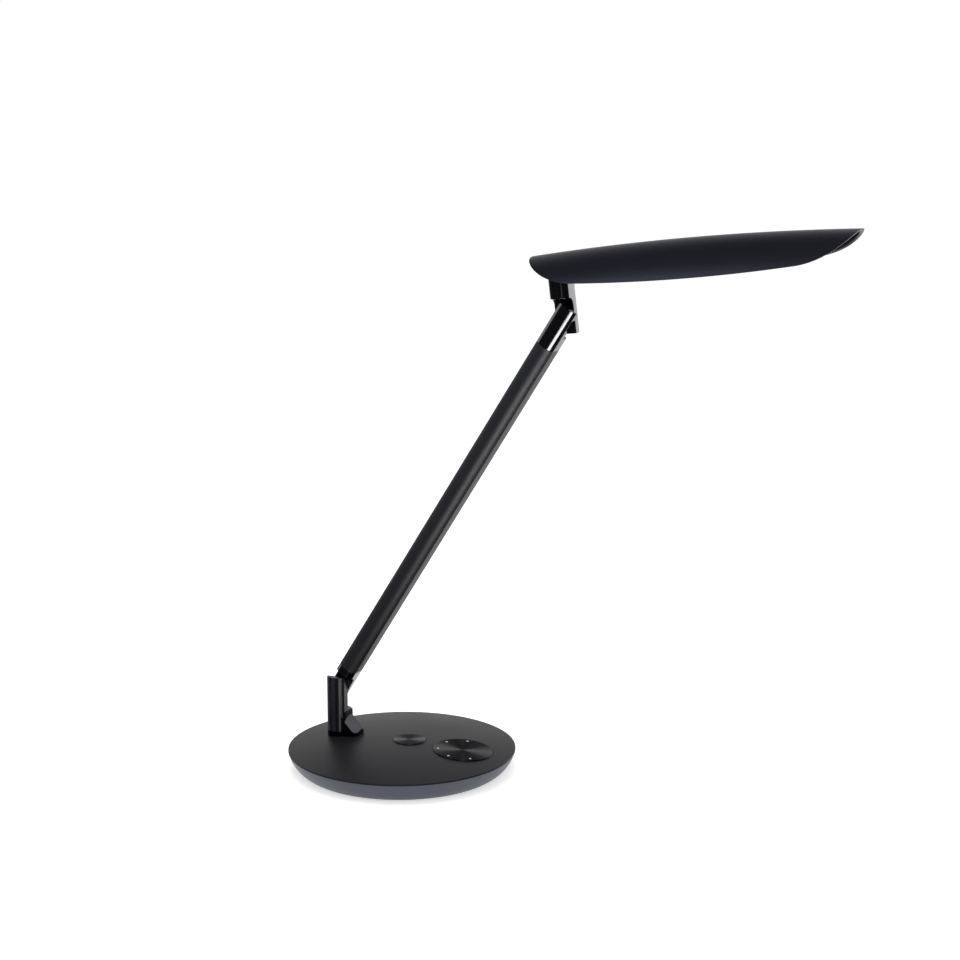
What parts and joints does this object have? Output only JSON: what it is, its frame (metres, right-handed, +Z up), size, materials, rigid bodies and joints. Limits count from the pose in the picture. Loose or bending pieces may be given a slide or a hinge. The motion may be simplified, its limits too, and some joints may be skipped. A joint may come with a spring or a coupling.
{
  "type": "desk lamp",
  "caption": "Folding LED desk lamp: round weighted base with dimmer dial and push switch, slim single arm on a post, and a long arched head, on two friction hinges.",
  "frame": {"origin": "centre of the foot pad's underside, on the table", "axes": "+Z up; +X from the post towards the front of the head; Y along both tilt hinges"},
  "size_m": [0.5461, 0.22, 0.5406],
  "materials": {
    "pad": "closed-cell foam",
    "cover_black": "fine texture",
    "bowl_paint": "satin blue-grey paint",
    "ballast_iron": "as cast",
    "plate_charcoal": "fine satin texture",
    "screw_steel": "zinc plated",
    "board_green": "solder mask",
    "standoff_brass": "plain",
    "housing_black": "moulded",
    "foot_black": "matte",
    "post_gloss": "high gloss dark grey-violet",
    "dial_dark": "turned rings, satin",
    "dot_white": "plain",
    "button_metal": "turned rings",
    "plunger_ivory": "moulded",
    "joint_gloss": "high gloss black",
    "arm_black": "matte black",
    "lead_white": "smooth",
    "washer_white": "smooth",
    "spring_steel": "spring temper",
    "head_black": "fine matte texture",
    "spine_alu": "mill",
    "board_white": "solder mask",
    "led_yellow": "phosphor",
    "diffuser_opal": "opal"
  },
  "bodies": {
    "base": {"foot_pad": "pad", "bottom_cover": "cover_black", "base_shell": "bowl_paint", "ballast": "ballast_iron", "top_plate": "plate_charcoal", "cover_screws": "screw_steel", "plate_screws": "screw_steel", "post_screws": "screw_steel", "control_board": "board_green", "board_standoffs": "standoff_brass", "dial_encoder": "housing_black", "switch_housing": "housing_black", "power_inlet": "housing_black", "post_foot": "foot_black", "post": "post_gloss", "lower_pivot_screw": "screw_steel", "lower_spring_washer": "spring_steel"},
    "dial": {"dial": "dial_dark", "dial_dots": "dot_white"},
    "button": {"power_button": "button_metal", "switch_plunger": "plunger_ivory"},
    "arm": {"lower_arm_joint": "joint_gloss", "arm_tube": "arm_black", "upper_arm_joint": "joint_gloss", "arm_lead": "lead_white", "arm_screws": "screw_steel", "lower_friction_washer": "washer_white", "lower_pivot_cap": "joint_gloss", "upper_pivot_screw": "screw_steel", "upper_spring_washer": "spring_steel"},
    "head": {"neck": "joint_gloss", "upper_friction_washer": "washer_white", "upper_pivot_cap": "joint_gloss", "head_spine": "spine_alu", "neck_screws": "screw_steel", "spine_screws": "screw_steel", "head_shell": "head_black", "led_board": "board_white", "leds": "led_yellow", "diffuser": "diffuser_opal", "head_cover": "head_black", "head_cover_screws": "screw_steel"}
  },
  "joints": [
    {"name": "arm_tilt", "type": "hinge", "parent": "base", "child": "arm", "pos_m": [-0.0674, 0, 0.0743], "axis": [0, -1, 0], "range_deg": [-48, 32]},
    {"name": "head_tilt", "type": "hinge", "parent": "arm", "child": "head", "pos_m": [0.16617, 0, 0.44954], "axis": [0, -1, 0], "range_deg": [-128, 45]},
    {"name": "dial_turn", "type": "hinge", "parent": "base", "child": "dial", "pos_m": [0.0645, 0, 0.02676], "axis": [0.0848, 0, 0.9964], "range_deg": [-135, 135]},
    {"name": "button_push", "type": "slide", "parent": "base", "child": "button", "axis": [0, 0, -1], "range_m": [0, 0.001], "stiffness_N_per_m": 1500, "springref_m": -0.0006}
  ]
}
